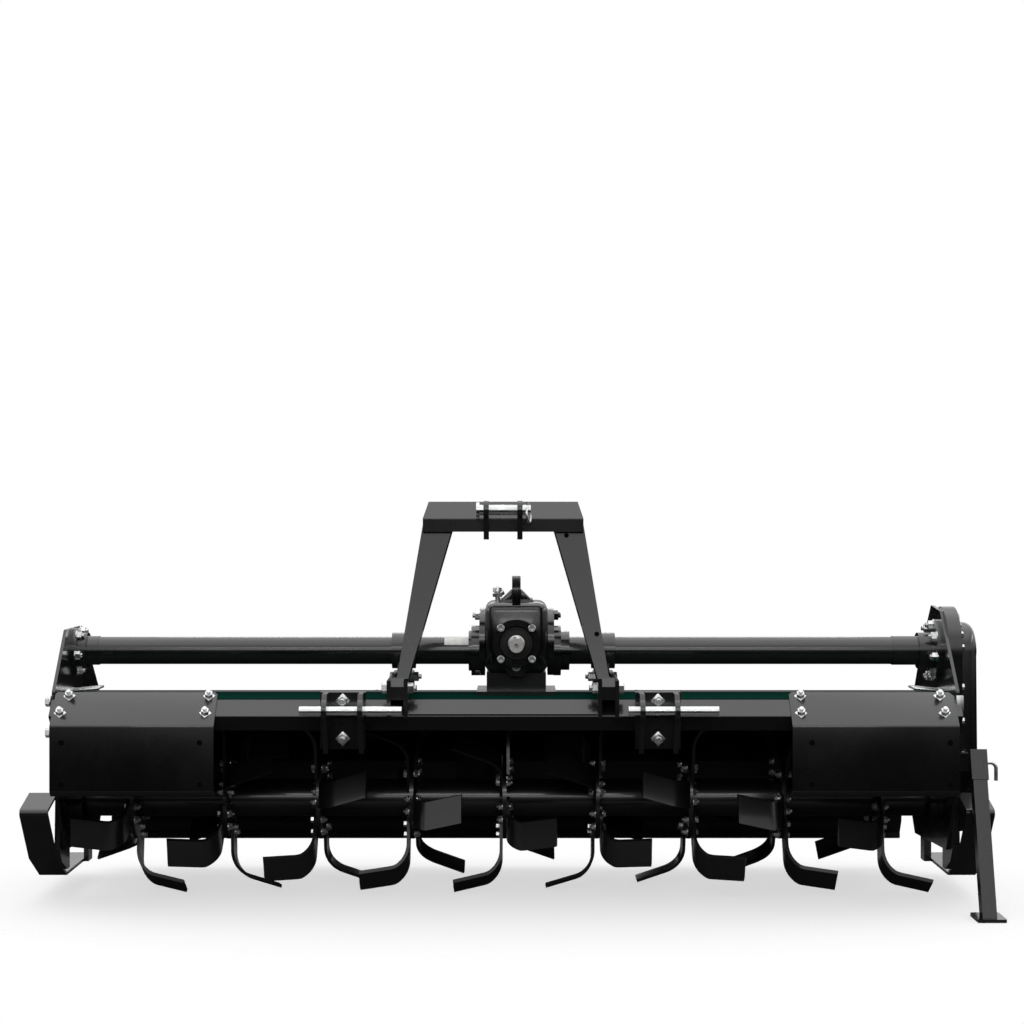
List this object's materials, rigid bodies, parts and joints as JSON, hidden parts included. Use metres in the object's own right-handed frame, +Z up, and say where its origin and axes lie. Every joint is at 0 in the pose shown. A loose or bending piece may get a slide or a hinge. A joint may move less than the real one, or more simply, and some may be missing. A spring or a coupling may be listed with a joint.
{
  "type": "rotary tiller",
  "caption": "Tractor-mounted rotary tiller: hooded tine rotor between side plates, gearbox on a cross tube, three-point mast, hinged rear apron and parking stand.",
  "frame": {"origin": "middle of the machine's box on the floor that it stands on", "axes": "+X towards the gear case side, +Y to the rear, away from the tractor, +Z up"},
  "size_m": [2.4115, 0.873, 1.011],
  "materials": {
    "black_paint": "gloss",
    "black_cast": "satin",
    "tine_paint": "satin",
    "zinc_plate": "satin",
    "bare_steel": "satin"
  },
  "bodies": {
    "frame": {"brace_tube": "black_paint", "centre_plate": "black_paint", "drive_tube": "black_paint", "front_beam": "black_paint", "gear_case": "black_paint", "gear_case_cover": "black_paint", "gearbox": "black_cast", "gearbox_hubs": "black_cast", "gearbox_pedestal": "black_paint", "guard_left": "black_paint", "guard_right": "black_paint", "hinge_pin": "zinc_plate", "hitch_clevis_left": "black_paint", "hitch_clevis_right": "black_paint", "hitch_pin_left": "zinc_plate", "hitch_pin_right": "zinc_plate", "hood": "black_paint", "hood_knuckles": "black_paint", "input_cap": "black_cast", "mast_bracket_left": "black_paint", "mast_bracket_right": "black_paint", "mast_leg_left": "black_paint", "mast_leg_right": "black_paint", "mast_top_beam": "black_paint", "rod_guides": "black_paint", "rotor_bearing_left": "black_paint", "rotor_bearing_right": "black_paint", "side_plate_left": "black_paint", "side_plate_right": "black_paint", "skid_left": "black_paint", "skid_right": "black_paint", "stand_pin": "zinc_plate", "stand_sleeve": "black_paint", "top_link_ears": "black_paint", "top_link_pin": "zinc_plate", "tube_clamp_left": "black_paint", "tube_clamp_right": "black_paint", "tube_flange_left": "black_paint", "tube_flange_right": "black_paint"},
    "rotor": {"rotor": "tine_paint"},
    "input_shaft": {"input_shaft": "bare_steel"},
    "apron": {"apron": "black_paint", "apron_ears": "black_paint"},
    "apron_rod_left": {"apron_rod_left": "black_paint"},
    "apron_rod_right": {"apron_rod_right": "black_paint"},
    "stand_leg": {"stand_leg": "black_paint"}
  },
  "joints": [
    {"name": "rotor_spin", "type": "hinge", "parent": "frame", "child": "rotor", "pos_m": [0, 0.025, 0.24092], "axis": [1, 0, 0], "continuous": true},
    {"name": "input_spin", "type": "hinge", "parent": "frame", "child": "input_shaft", "pos_m": [0.026, -0.225, 0.654], "axis": [0, 1, 0], "continuous": true},
    {"name": "apron_swing", "type": "hinge", "parent": "frame", "child": "apron", "pos_m": [0, 0.337, 0.294], "axis": [1, 0, 0], "range_deg": [0, 35]},
    {"name": "apron_rod_left_swing", "type": "hinge", "parent": "apron", "child": "apron_rod_left", "pos_m": [-0.35, 0.417, 0.222], "axis": [1, 0, 0], "range_deg": [-24, 0]},
    {"name": "apron_rod_right_swing", "type": "hinge", "parent": "apron", "child": "apron_rod_right", "pos_m": [0.35, 0.417, 0.222], "axis": [1, 0, 0], "range_deg": [-24, 0]},
    {"name": "stand_slide", "type": "slide", "parent": "frame", "child": "stand_leg", "axis": [0, 0.3107, 0.9505], "range_m": [0, 0.15]}
  ],
  "couplings": [
    {"joint": "input_spin", "follows": "rotor_spin", "ratio": 2.45},
    {"joint": "apron_rod_left_swing", "follows": "apron_swing", "ratio": -0.671},
    {"joint": "apron_rod_right_swing", "follows": "apron_swing", "ratio": -0.671}
  ]
}
